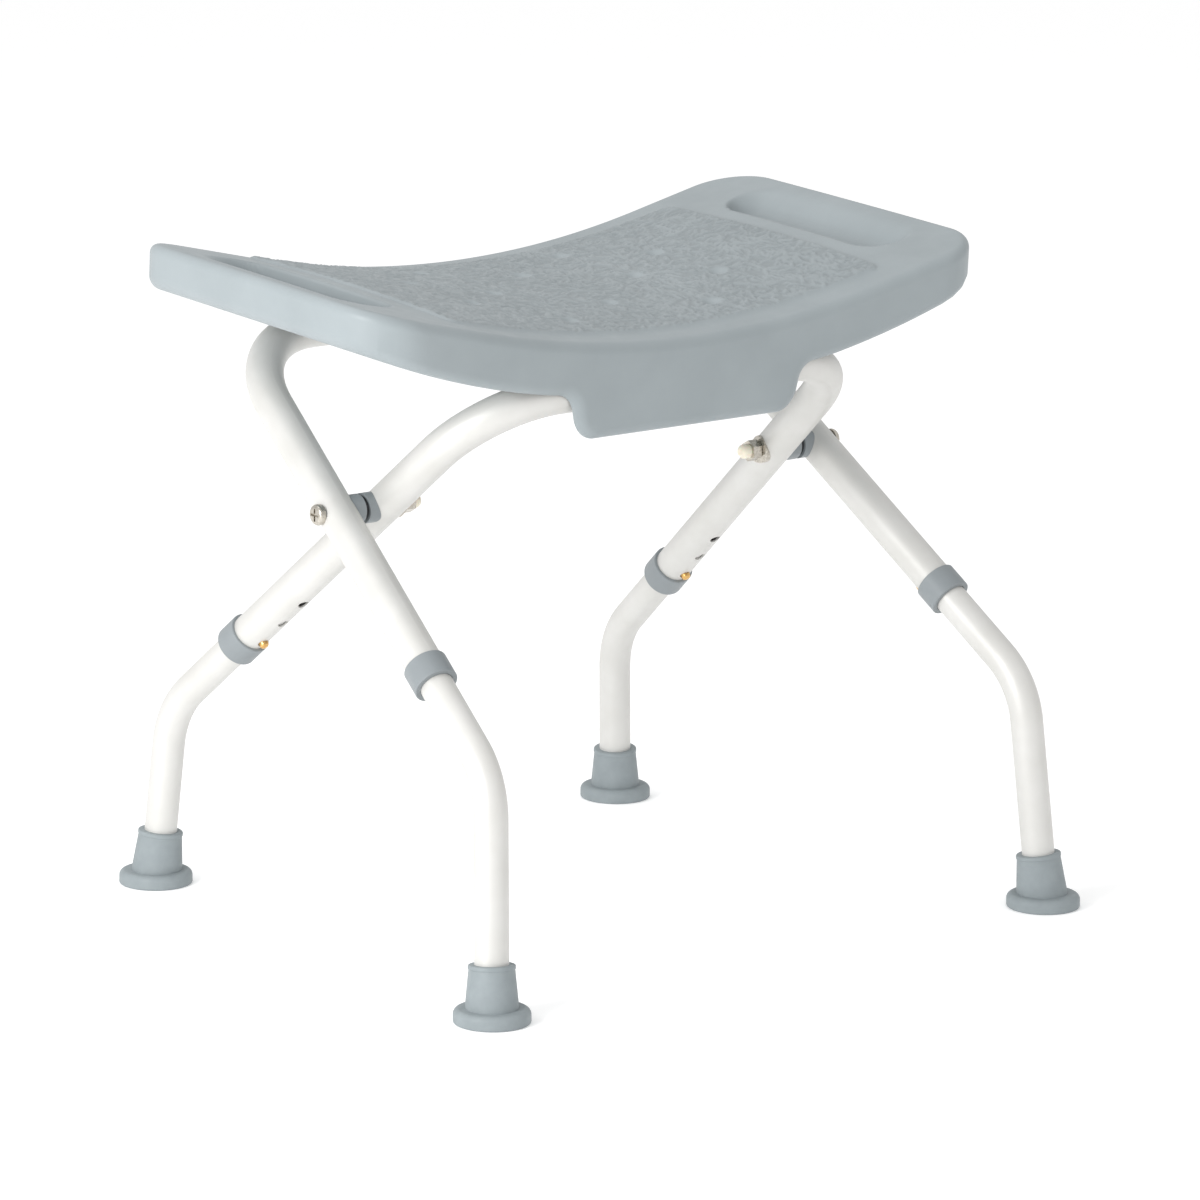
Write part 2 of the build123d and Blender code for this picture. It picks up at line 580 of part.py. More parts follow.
def write(name, shapes):
    """Writes one node: a solid, or a group of separate solids."""
    shapes = shapes if isinstance(shapes, list) else [shapes]
    solids = [solid for shape in shapes for solid in shape.solids()]
    whole = solids[0] if len(solids) == 1 else Compound(children=solids)
    whole.label = name
    export_step(whole, f"parts/{name}.step")


def main():
    """Builds every node and writes it."""
    os.makedirs("parts", exist_ok=True)
    write("seat", seat())
    for side, sx in SIDES:
        write(f"hinge_strap_{side}", hinge_strap(sx))
    write("strap_screws", strap_screws())
    for frame in FRAMES:
        name = frame["name"]
        write(f"{name}_frame", u_frame(frame))
        write(f"{name}_pivot_spacers", spacers(frame))
        for side, sx in SIDES:
            write(f"{name}_collar_{side}", collar(frame, sx))
            write(f"{name}_leg_{side}", lower_leg(frame, sx))
            write(f"{name}_foot_{side}", foot_tip(frame, sx))
            write(f"{name}_foot_disc_{side}", foot_disc(frame, sx))
            write(f"{name}_button_clip_{side}", button_clip(frame, sx))
    write("outer_gap_washers", gap_washers(-1))
    write("inner_gap_washers", gap_washers(1))
    write("pivot_bolts", [pivot_bolt(sx) for _, sx in SIDES])
    write("pivot_nuts", [pivot_nut(sx) for _, sx in SIDES])
    write("nut_caps", [nut_cap(sx) for _, sx in SIDES])
    write("saddle_washers", [saddle_washer(sx) for _, sx in SIDES])


main()
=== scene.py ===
import json
from math import asin, atan, atan2, cos, pi, radians, sin, tan

import bpy
import numpy as np
from mathutils import Matrix, Vector

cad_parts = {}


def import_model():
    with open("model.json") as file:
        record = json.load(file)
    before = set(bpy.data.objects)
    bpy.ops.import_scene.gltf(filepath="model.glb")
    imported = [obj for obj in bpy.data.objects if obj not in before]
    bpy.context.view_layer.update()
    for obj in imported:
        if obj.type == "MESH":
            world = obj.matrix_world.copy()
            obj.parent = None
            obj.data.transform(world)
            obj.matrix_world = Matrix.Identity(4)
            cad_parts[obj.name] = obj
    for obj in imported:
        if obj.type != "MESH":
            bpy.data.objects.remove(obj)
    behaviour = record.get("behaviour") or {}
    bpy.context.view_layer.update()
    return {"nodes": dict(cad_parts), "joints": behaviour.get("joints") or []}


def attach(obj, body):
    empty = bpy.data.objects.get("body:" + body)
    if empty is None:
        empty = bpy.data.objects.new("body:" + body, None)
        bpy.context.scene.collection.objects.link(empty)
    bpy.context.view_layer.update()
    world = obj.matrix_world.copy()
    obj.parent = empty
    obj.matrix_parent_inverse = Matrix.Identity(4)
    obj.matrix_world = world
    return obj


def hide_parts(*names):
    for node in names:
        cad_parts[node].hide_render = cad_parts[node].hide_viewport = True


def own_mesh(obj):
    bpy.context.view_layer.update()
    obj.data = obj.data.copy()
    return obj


# A folding shower stool: a detailed seat, snap buttons, and finishes for every part of the frame.
# Lengths are millimetres, scaled by MM when a mesh is made. +Z is up and -Y is the user's side.

MM = 0.001

# ---- the seat's dimensions, in its own frame: level with its middle rim line ---------------------

SEAT_Y, SEAT_Z, SEAT_TILT = 22.0, 408.8, 3.15
HALF_X, HALF_Y, CORNER_R = 264.0, 135.5, 42.0
DISH_R, DISH_HALF = 727.0, 170.0
CROWN, CROWN_FADE_X, CROWN_END_SHARE = 6.0, 140.0, 0.1
EDGE_R = 7.0
RIM_DEPTH, RIM_DEPTH_END = 36.4, 28.2

PANEL_X, PANEL_Y, PANEL_R = 183.0, 111.5, 9.0
PANEL_RISE, PANEL_STEP = 1.4, 1.8
PANEL_STEP_LINES = (-0.5, -0.2, 0.2, 0.5)
DRAINS = [(x * sx, y * sy) for x, y in ((106.0, 33.0), (61.0, 80.0))
          for sx in (-1, 1) for sy in (-1, 1)]
DRAINS += [(0.0, -46.5), (0.0, 46.5), (-61.0, 0.0), (61.0, 0.0)]
DRAIN_R, DIMPLE_R, DIMPLE_DEPTH = 1.2, 6.6, 2.4
DIMPLE_PATCH, HOLE_PATCH, DIMPLE_SHAPE, DRAIN_SIDES = 8.0, 3.0, 1.3, 32
MOUTH_RADII = (7.2, DIMPLE_R, 6.1, 5.5, 4.8, 4.0, 3.2, 2.4, 1.7, DRAIN_R)
GRIP_X, GRIP_HALF_X, GRIP_HALF_Y, GRIP_R = 224.0, 23.0, 83.0, 21.0
GRIP_DEPTH, GRIP_WALL_IN, GRIP_WALL_OUT, GRIP_LIP = 12.5, 7.0, 24.0, 2.0

# The apron is a skirt on the near side. Its ends lean in by APRON_DRAFT between its top and bottom.
APRON_X, APRON_TOP, APRON_BOTTOM = 104.0, -20.0, -59.5
APRON_R, APRON_FLARE, APRON_DRAFT, APRON_END_R, APRON_FADE = 20.0, 14.0, 8.4, 13.0, 18.0
APRON_FLAT, SLOPE_RUN, CORNER_STEPS, FLARE_STEPS, NO_APRON = 6.0, 20.0, 12, 10, 99.0

# The crossbars' (y, z), their slots' (near y, far y, half length), and the saddle blocks on them
# as (middle x, half length).
HINGE_BAR, REST_BAR = (107.3, -28.33), (-117.3, -30.44)
HINGE_SLOT, REST_SLOT = (85.3, 121.3, 166.0), (-131.0, -87.8, 136.0)
HINGE_ROOF, REST_ROOF = -14.7, -16.8
HINGE_BLOCK, REST_BLOCK = (72.0, 10.3), (48.0, 8.0)
HINGE_BORE, REST_BORE, REST_OPEN = 12.78, 13.0, 4.0
STRAP_REACH = 24.9

# The flat middle of the seat's plan is a rounded rectangle, one border inside the outline.
BORDER = 24.0
CORE_X, CORE_Y, CORE_R = HALF_X - BORDER, HALF_Y - BORDER, CORNER_R - BORDER

# Half the width of an upright wall's hairline, the side wall's first loop, the depth that the top
# face's painted shade reaches, and how finely rings follow the edges and bores.
HAIR, WALL_STEP, TOP_SKIN = 0.05, 0.8, 4.0
EDGE_STEPS, BORDER_INSETS = 9, (9.0, 11.5, 14.0, 17.5, 21.0)
BORE_STEPS, BORE_TURN, END_STEPS, END_TURN = 13, 1.5, 7, 0.2
CREASE = radians(35)

# The panel's ridges: short bent strokes, whose direction swirls with a few long waves.
STROKE_CELL, STROKE_HEIGHT, STROKE_FADE, STROKE_GAP = 0.5, 1.0, 1.5, 0.6
STROKE_EACH, STROKE_REACH = 13.0, 8.5
STROKE_LONG, STROKE_WIDE, STROKE_TALL, STROKE_BEND = (3.0, 6.5), (0.85, 1.2), (0.7, 1.0), 0.018
STROKE_TURN, STROKE_SPREAD = 0.25, 0.22
WAVES, WAVE_NUMBER, WAVE_SIZE, WAVE_SHARE = 9, 0.16, (0.8, 1.6), 0.55
# Painted shade: the attribute that darkens the plastic between the ridges, and how dark it gets.
PAINTED_SHADE_ATTRIBUTE, VALLEY_PAINTED_SHADE = "ridge", 0.84

# A snap button's head, from its flange to its tip, and the V spring that it is riveted to.
# AXIS_GAP keeps the head's first and last loops off its axis.
HEAD_R, DOME_R, FLANGE_R, FLANGE_H, HEAD_BEVEL, HEAD_SIDES = 3.3, 2.6, 4.6, 1.0, 0.15, 48
HEAD_LENGTH, CLIP_FRONT, CLIP_BACK, CLIP_LEAF, CLIP_REACH = 8.5, 7.3, -8.3, 8.0, 30.0
CLIP_W, CLIP_T, CLIP_BEND, CLIP_KEEP = 6.0, 0.6, 1.6, 0.69
AXIS_GAP, TIP_DEPTH, DOME_STEPS, BEND_STEPS = 0.02, 0.02, 10, 7

# Grid spacings: the panel, the border's ends and the underside.
FINE, MEDIUM, COARSE, GRID_SLACK = 1.3, 2.3, 8.0, 0.05

# Each finish's two tones, as screen values from 0 to 255.
TONES = {
    "seat_plastic": ((151, 159, 162), (145, 153, 156)),
    "grey_plastic": ((138, 144, 147), (131, 137, 140)),
    "foot_rubber": ((143, 151, 154), (136, 144, 147)),
    "aluminium_tube": ((212, 211, 208), (205, 204, 200)),
    "steel": ((205, 200, 190), (176, 170, 160)),
    "dark_steel": ((96, 96, 98), (70, 70, 72)),
    "brass_button": ((226, 186, 120), (204, 158, 96)),
    "nylon_cap": ((240, 234, 216), (228, 220, 200)),
}

# The camera's place and lens are in millimetres, its turns in degrees, lights and floor in metres.
CAMERA_PLACE = (-2855.54, -3471.90, 1185.73)
CAMERA_AZIMUTH, CAMERA_HEIGHT, CAMERA_ROLL = -39.599, 12.2836, 0.681
CAMERA_LENS, CAMERA_SENSOR = 205.495, 36.0
LIGHT_AIM = (0, 0, 0.35)
SURROUND, FLOOR_HALF, FLOOR_WHITE, FLOOR_GLOW = 0.82, 14.0, 0.97, 0.19


# ---- small helpers ------------------------------------------------------------------------------

def smooth(t):
    """An S curve from 0 to 1."""
    t = np.clip(t, 0.0, 1.0)
    return t * t * (3.0 - 2.0 * t)


def round_box(x, y, half_x, half_y, radius):
    """The distance outside a rounded rectangle, negative inside."""
    qx, qy = np.abs(x) - half_x + radius, np.abs(y) - half_y + radius
    outside = np.hypot(np.maximum(qx, 0), np.maximum(qy, 0))
    return outside + np.minimum(np.maximum(qx, qy), 0) - radius


def grid_lines(stations, step):
    """Lines through every station, with even ones between. step gives the spacing at a place."""
    stations = sorted(set(round(s, 3) for s in stations))
    lines = []
    for a, b in zip(stations, stations[1:]):
        count = max(1, int(np.ceil((b - a) / step((a + b) / 2) - GRID_SLACK)))
        lines.extend(np.linspace(a, b, count, endpoint=False))
    return np.array(lines + [stations[-1]])


def both_sides(values):
    """Each value with its mirror."""
    return [s * v for v in values for s in (-1, 1)]


def hairline(value):
    """Two lines either side of an upright wall."""
    return [value - HAIR, value + HAIR]


# ---- a sheet over the seat's plan ---------------------------------------------------------------

class Sheet:
    """A grid over the middle of the plan, with rings out to the outline, facing up."""

    def __init__(self, xs, ys, insets, first):
        self.xs, self.ys, self.first = xs, ys, first
        nx, ny = len(xs), len(ys)
        gx, gy = np.meshgrid(xs, ys, indexing="ij")
        over_x = np.clip((np.abs(gx) - CORE_X + CORE_R) / CORE_R, 0, 1)
        over_y = np.clip((np.abs(gy) - CORE_Y + CORE_R) / CORE_R, 0, 1)
        corner = (over_x > 0) & (over_y > 0)
        bent_x = CORE_X - CORE_R + CORE_R * over_x * np.sqrt(1 - over_y ** 2 / 2)
        bent_y = CORE_Y - CORE_R + CORE_R * over_y * np.sqrt(1 - over_x ** 2 / 2)
        px = np.where(corner, np.sign(gx) * bent_x, gx)
        py = np.where(corner, np.sign(gy) * bent_y, gy)
        self.index = first + np.arange(nx * ny).reshape(nx, ny)

        edge = [(i, 0) for i in range(nx)] + [(nx - 1, j) for j in range(1, ny)]
        edge += [(i, ny - 1) for i in range(nx - 2, -1, -1)]
        edge += [(0, j) for j in range(ny - 2, 0, -1)]
        ei, ej = np.array(edge).T
        base = np.stack([px[ei, ej], py[ei, ej]], 1)
        reach = np.array([CORE_X - CORE_R, CORE_Y - CORE_R])
        centre = np.clip(base, -reach, reach)
        out = (base - centre) / CORE_R
        out /= np.linalg.norm(out, axis=1)[:, None]

        rings = [base + (BORDER - inset) * out for inset in insets]
        self.plan = np.concatenate([np.stack([px.ravel(), py.ravel()], 1)] + rings)
        count = len(base)
        outer = [np.full(count, inset) for inset in insets]
        self.inset = np.concatenate([np.full(nx * ny, BORDER)] + outer)
        loops = [self.index[ei, ej]]
        for k in range(len(insets)):
            loops.append(first + nx * ny + k * count + np.arange(count))
        self.outline = loops[-1]
        self.ring_faces = [strip(a, b) for a, b in zip(loops, loops[1:])]
        last = rings[-1]
        step = np.linalg.norm(np.roll(last, -1, 0) - last, axis=1)
        self.length = step.sum()
        self.turn = np.concatenate([[0], np.cumsum(step)[:-1]]) / self.length

    def grid_faces(self, holes, half):
        """The grid's quads, without those in a square about each hole."""
        a = self.index
        quads = np.stack([a[:-1, :-1], a[1:, :-1], a[1:, 1:], a[:-1, 1:]], -1)
        mx, my = (self.xs[1:] + self.xs[:-1]) / 2, (self.ys[1:] + self.ys[:-1]) / 2
        keep = np.ones(quads.shape[:2], bool)
        for x, y in holes:
            keep &= ~((np.abs(mx - x) < half)[:, None] & (np.abs(my - y) < half)[None, :])
        return quads[keep]

    def hole_loop(self, x, y, half):
        """The grid vertices round the square about a hole, anticlockwise."""
        i0, i1 = np.abs(self.xs - x + half).argmin(), np.abs(self.xs - x - half).argmin()
        j0, j1 = np.abs(self.ys - y + half).argmin(), np.abs(self.ys - y - half).argmin()
        spots = [(i, j0) for i in range(i0, i1)] + [(i1, j) for j in range(j0, j1)]
        spots += [(i, j1) for i in range(i1, i0, -1)] + [(i0, j) for j in range(j1, j0, -1)]
        return np.array([self.index[s] for s in spots])


def strip(inner, outer):
    """Quads between two closed loops of as many points."""
    return np.stack([inner, outer, np.roll(outer, -1), np.roll(inner, -1)], 1)


def zip_loops(outer, inner, outer_turn, inner_turn):
    """Triangles between two closed loops that run the same way, matched by how far round."""
    outer, inner = outer[np.argsort(outer_turn)], inner[np.argsort(inner_turn)]
    ot, it = np.append(np.sort(outer_turn), 2.0), np.append(np.sort(inner_turn), 2.0)
    ot[-1], it[-1] = 1 + ot[0], 1 + it[0]
    n, m, i, j, faces = len(outer), len(inner), 0, 0, []
    while i < n or j < m:
        a, b = outer[i % n], inner[j % m]
        if j >= m or (i < n and ot[i + 1] < it[j + 1]):
            faces.append((a, outer[(i + 1) % n], b))
            i += 1
        else:
            faces.append((a, inner[(j + 1) % m], b))
            j += 1
    return faces


def turn_about(points, x, y):
    """How far round a centre each point is, from 0 to 1."""
    return (np.arctan2(points[:, 1] - y, points[:, 0] - x) / (2 * pi)) % 1.0


# ---- the seat's heights -------------------------------------------------------------------------

def dish(x):
    """The rim line's height: an arc with straight tangent ends."""
    angle = asin(DISH_HALF / DISH_R)
    near = np.clip(np.abs(x), 0, DISH_HALF)
    return DISH_R - np.sqrt(DISH_R ** 2 - near ** 2) + (np.abs(x) - near) * tan(angle)


def stroke_map(seed=7):
    """Heights from 0 to 1 of the panel's leathery ridges: short bent strokes in swirls."""
    rng = np.random.default_rng(seed)
    cell = STROKE_CELL
    nx, ny = int(2 * PANEL_X / cell) + 1, int(2 * PANEL_Y / cell) + 1
    height = np.zeros((nx, ny))
    waves = []
    for _ in range(WAVES):
        number = rng.uniform(-1, 1, 2) * WAVE_NUMBER
        waves.append((number, rng.uniform(0, 2 * pi), rng.uniform(*WAVE_SIZE)))
    count = int(4 * PANEL_X * PANEL_Y / STROKE_EACH)
    reach = int(STROKE_REACH / cell)
    steps = np.arange(-reach, reach + 1) * cell
    wx, wy = np.meshgrid(steps, steps, indexing="ij")
    for _ in range(count):
        x, y = rng.uniform(-PANEL_X, PANEL_X), rng.uniform(-PANEL_Y, PANEL_Y)
        swirl = sum(size * sin(x * k[0] + y * k[1] + phase) for k, phase, size in waves)
        angle = STROKE_TURN + swirl * WAVE_SHARE + rng.normal(0, STROKE_SPREAD)
        long, wide = rng.uniform(*STROKE_LONG), rng.uniform(*STROKE_WIDE)
        bend = rng.normal(0, STROKE_BEND)
        i, j = int((x + PANEL_X) / cell), int((y + PANEL_Y) / cell)
        i0, i1 = max(i - reach, 0), min(i + reach + 1, nx)
        j0, j1 = max(j - reach, 0), min(j + reach + 1, ny)
        window = (slice(i0 - i + reach, i1 - i + reach), slice(j0 - j + reach, j1 - j + reach))
        along = wx[window] * cos(angle) + wy[window] * sin(angle)
        across = wy[window] * cos(angle) - wx[window] * sin(angle) - bend * along ** 2
        ridge = np.clip(1 - (across / wide) ** 2, 0, 1) * np.clip(1 - (along / long) ** 4, 0, 1)
        view = height[i0:i1, j0:j1]
        np.maximum(view, ridge * rng.uniform(*STROKE_TALL), out=view)
    return height


def sample(field, x, y):
    """The field's value at each place over the panel, mixed from the four cells about it."""
    nx, ny = field.shape
    u = np.clip((x + PANEL_X) / (2 * PANEL_X) * (nx - 1), 0, nx - 1.001)
    v = np.clip((y + PANEL_Y) / (2 * PANEL_Y) * (ny - 1), 0, ny - 1.001)
    i, j = u.astype(int), v.astype(int)
    fu, fv = u - i, v - j
    low = field[i, j] * (1 - fu) + field[i + 1, j] * fu
    high = field[i, j + 1] * (1 - fu) + field[i + 1, j + 1] * fu
    return low * (1 - fv) + high * fv


def top_height(x, y, inset, strokes):
    """The top face: dished and crowned, with its panel, ridges, grips and rounded rim."""
    fade = (np.abs(x) - CROWN_FADE_X) / (HALF_X - CROWN_FADE_X)
    crown = CROWN * (1 - (1 - CROWN_END_SHARE) * smooth(fade))
    z = dish(x) + crown * (1 - (y / HALF_Y) ** 2)
    edge = round_box(x, y, PANEL_X, PANEL_Y, PANEL_R)
    z += PANEL_RISE * smooth(0.5 - edge / PANEL_STEP)
    far = drain_distance(x, y)
    z += STROKE_HEIGHT * sample(strokes, x, y) * stroke_share(far, edge)
    z -= grip_depth(x, y) + dimple(far)
    return z - rounding(inset, EDGE_R)


def drain_distance(x, y):
    """How far each place is from the nearest drain."""
    return np.min([np.hypot(x - cx, y - cy) for cx, cy in DRAINS], axis=0)


def stroke_share(far, edge):
    """Where the strokes are at full height: on the panel, clear of its edge and the drains."""
    return smooth((far - DIMPLE_R) / STROKE_FADE) * smooth(-edge / STROKE_FADE - STROKE_GAP)


def ridge_painted_shade(x, y, strokes):
    """Painted shade between the panel's ridges: 0 in the valleys, 1 on their tops and where smooth.
    """
    share = stroke_share(drain_distance(x, y), round_box(x, y, PANEL_X, PANEL_Y, PANEL_R))
    return 1 - share * (1 - sample(strokes, x, y))


def grip_depth(x, y):
    """The hand grips: a crisp wall on the panel's side and a soft one towards the seat's end."""
    inside = -round_box(np.abs(x) - GRIP_X, y, GRIP_HALF_X, GRIP_HALF_Y, GRIP_R)
    outward = smooth((np.abs(x) - GRIP_X + GRIP_HALF_X) / (2 * GRIP_HALF_X))
    wall = GRIP_WALL_IN + (GRIP_WALL_OUT - GRIP_WALL_IN) * outward
    lip = GRIP_LIP * outward
    share = np.clip((inside + lip) / (wall + lip), 0, 1)
    return GRIP_DEPTH * (smooth(share) * outward + np.sin(share * pi / 2) * (1 - outward))


def dimple(distance):
    """The depth of a drain's dished mouth."""
    return DIMPLE_DEPTH * np.clip(1 - (distance / DIMPLE_R) ** 2, 0, 1) ** DIMPLE_SHAPE


def rounding(inset, radius):
    """How far a rounded edge has fallen away at a distance in from it."""
    short = np.clip(radius - inset, 0, None)
    return radius - np.sqrt(radius ** 2 - short ** 2)


def underside(x):
    """The plain underside: an arc that leaves the rim thinner at its ends."""
    sag = float(dish(np.array(HALF_X))) - RIM_DEPTH_END + RIM_DEPTH
    bend = (HALF_X ** 2 + sag ** 2) / (2 * sag)
    return -RIM_DEPTH + bend - np.sqrt(bend ** 2 - x ** 2)


def underside_at(x):
    """The plain underside's height at one place."""
    return float(underside(np.array(x)))


def apron_profile():
    """The apron's outline on one side: (x, z, sideways share of its normal) up its end."""
    lean = atan2(APRON_DRAFT, APRON_TOP - APRON_BOTTOM)
    foot = APRON_X - APRON_DRAFT
    corner_x = foot - APRON_R * (1 - sin(lean)) / cos(lean)
    points = [(corner_x - APRON_FLAT, APRON_BOTTOM, 0.0)]
    for turn in np.linspace(0, pi / 2 - lean, CORNER_STEPS):
        rise = APRON_R * (1 - cos(turn))
        points.append((corner_x + APRON_R * sin(turn), APRON_BOTTOM + rise, sin(turn)))
    level = underside_at(APRON_X)
    slope = atan((underside_at(APRON_X + SLOPE_RUN) - level) / SLOPE_RUN)
    # The flare's centre lies its radius out from the end's wall and its radius under the underside.
    sides = [[cos(lean), -sin(lean)], [-sin(slope), cos(slope)]]
    wall = APRON_FLARE + foot * cos(lean) - APRON_BOTTOM * sin(lean)
    roof = -APRON_FLARE - APRON_X * sin(slope) + level * cos(slope)
    middle = np.linalg.solve(sides, [wall, roof])
    for turn in np.linspace(lean, pi / 2 - slope, FLARE_STEPS):
        across, rise = APRON_FLARE * cos(turn), APRON_FLARE * sin(turn)
        points.append((middle[0] - across, middle[1] + rise, cos(turn)))
    end = points[-1][0] + APRON_FADE
    points.append((end, underside_at(end), 0.0))
    return np.array(points)


APRON = apron_profile()


def in_box(x, y, mid_x, half_x, low_y, high_y):
    """Which places lie in a pair of mirrored boxes, or in one about the middle where mid_x is 0."""
    return (np.abs(np.abs(x) - mid_x) < half_x) & (y > low_y) & (y < high_y)


def arch(y, bar, radius):
    """The height of a bore's roof over a crossbar."""
    return bar[1] + np.sqrt(np.clip(radius ** 2 - (y - bar[0]) ** 2, 0, None))


def bottom_height(x, y, inset):
    """The underside, with its apron, crossbar slots, saddles and rounded rim."""
    plain = underside(x)
    drop = np.interp(np.abs(x), APRON[:, 0], APRON[:, 1], right=NO_APRON)
    apron = (y < REST_SLOT[0]) & (drop < plain)
    share = np.where(y < REST_SLOT[0], apron_share(x), 0.0)
    lift = rounding(inset, edge_radius(share)) * np.sqrt(1 - share ** 2)
    z = np.where(apron, drop, plain) + lift
    strap_room = in_box(x, y, *HINGE_BLOCK, HINGE_BAR[0] - STRAP_REACH, HINGE_BAR[0] + STRAP_REACH)
    z = np.where(strap_room, np.maximum(z, HINGE_BAR[1]), z)
    hinge = in_box(x, y, 0, HINGE_SLOT[2], *HINGE_SLOT[:2])
    saddle = hinge & in_box(x, y, *HINGE_BLOCK, *HINGE_SLOT[:2])
    z = np.where(hinge, np.maximum(z, HINGE_ROOF), z)
    z = np.where(saddle, arch(y, HINGE_BAR, HINGE_BORE), z)
    rest = in_box(x, y, 0, REST_SLOT[2], *REST_SLOT[:2])
    saddle = rest & in_box(x, y, *REST_BLOCK, *REST_SLOT[:2])
    z = np.where(rest, np.maximum(z, REST_ROOF), z)
    return np.where(saddle, np.maximum(arch(y, REST_BAR, REST_BORE), REST_BAR[1] + REST_OPEN), z)


def apron_share(x):
    """How far sideways the apron's outline faces, from 0 on its level bottom to 1 on its ends."""
    return np.interp(np.abs(x), APRON[:, 0], APRON[:, 2], left=0, right=0)


def edge_radius(share):
    """The rim's edge radius, which grows round the apron's ends."""
    return EDGE_R + (APRON_END_R - EDGE_R) * share


def apron_shift(x, inset, y):
    """How far the apron's ends draw in towards the near face, where they are rounded in plan."""
    share = apron_share(x)
    return np.where(y < 0, -np.sign(x) * share * rounding(inset, edge_radius(share)), 0.0)


# ---- the seat's mesh ----------------------------------------------------------------------------

def top_lines():
    """Grid lines of the top face: fine over the panel, wider over the border."""
    edges = [PANEL_STEP * k for k in PANEL_STEP_LINES]
    xs = both_sides([CORE_X, CORE_X - CORE_R] + [PANEL_X + e for e in edges])
    ys = both_sides([CORE_Y, CORE_Y - CORE_R])
    for x, y in DRAINS:
        xs += [x - DIMPLE_PATCH, x + DIMPLE_PATCH]
        ys += [y - DIMPLE_PATCH, y + DIMPLE_PATCH]
    columns = grid_lines(xs, lambda v: FINE if abs(v) < PANEL_X else MEDIUM)
    return columns, grid_lines(ys, lambda v: FINE)


def bore_lines(bar, bore):
    """Where lines along a crossbar's bore lie in Y."""
    return [bar[0] + bore * sin(turn) for turn in np.linspace(-BORE_TURN, BORE_TURN, BORE_STEPS)]


def bottom_lines():
    """Grid lines of the underside, with a hairline pair at every upright wall."""
    xs = both_sides([CORE_X, CORE_X - CORE_R] + list(APRON[:, 0]))
    ys = both_sides([CORE_Y, CORE_Y - CORE_R])
    for middle, half in (HINGE_BLOCK, REST_BLOCK):
        for edge in (middle - half, middle + half):
            xs += both_sides(hairline(edge))
    for half in (HINGE_SLOT[2], REST_SLOT[2]):
        xs += both_sides(hairline(half))
    for edge in (HINGE_SLOT[0], REST_SLOT[1], HINGE_BAR[0] - STRAP_REACH):
        ys += hairline(edge)
    for bar, bore in ((HINGE_BAR, HINGE_BORE), (REST_BAR, REST_BORE)):
        ys += [y for y in bore_lines(bar, bore) if abs(y) < CORE_Y]
    for x, y in DRAINS:
        xs += [x - HOLE_PATCH, x + HOLE_PATCH]
        ys += [y - HOLE_PATCH, y + HOLE_PATCH]
    return grid_lines(xs, lambda v: COARSE), grid_lines(ys, lambda v: COARSE)


def rim_insets(extra=()):
    """Ring distances in from the outline, close together round the edge."""
    bend = [EDGE_R * (1 - cos(turn)) for turn in np.linspace(0, pi / 2, EDGE_STEPS)]
    return sorted({*bend, *BORDER_INSETS, *extra}, reverse=True)


def slot_insets():
    """Rings under the border for the slots' walls, the saddles' bores and the apron's ends."""
    extra = [APRON_END_R * (1 - cos(turn)) for turn in np.linspace(END_TURN, pi / 2, END_STEPS)]
    extra += hairline(REST_SLOT[0] + HALF_Y) + hairline(HALF_Y - HINGE_SLOT[1])
    extra += hairline(HALF_Y - HINGE_BAR[0] - STRAP_REACH)
    insets = [y + HALF_Y for y in bore_lines(REST_BAR, REST_BORE)]
    return extra + [inset for inset in insets if inset < BORDER]


def drain_circle(x, y, radius):
    """Points round a drain's axis."""
    turns = np.arange(DRAIN_SIDES) * 2 * pi / DRAIN_SIDES
    return x + radius * np.cos(turns), y + radius * np.sin(turns)


def drain_rings(x, y, strokes, first):
    """Points and faces of one drain's dished mouth, from its rim in to the hole."""
    points = []
    for radius in MOUTH_RADII:
        px, py = drain_circle(x, y, radius)
        height = top_height(px, py, np.full(DRAIN_SIDES, BORDER), strokes)
        points.append(np.stack([px, py, height], 1))
    loops = [first + k * DRAIN_SIDES + np.arange(DRAIN_SIDES) for k in range(len(MOUTH_RADII))]
    faces = [strip(b, a) for a, b in zip(loops, loops[1:])]
    return np.concatenate(points), loops, np.concatenate(faces)


def zip_hole(sheet, drain, half, loop, points):
    """Triangles between a drain's outer loop and the square that is left open for it in a sheet."""
    square = sheet.hole_loop(*drain, half)
    plan = sheet.plan[square - sheet.first]
    return zip_loops(square, loop, turn_about(plan, *drain), turn_about(points, *drain))


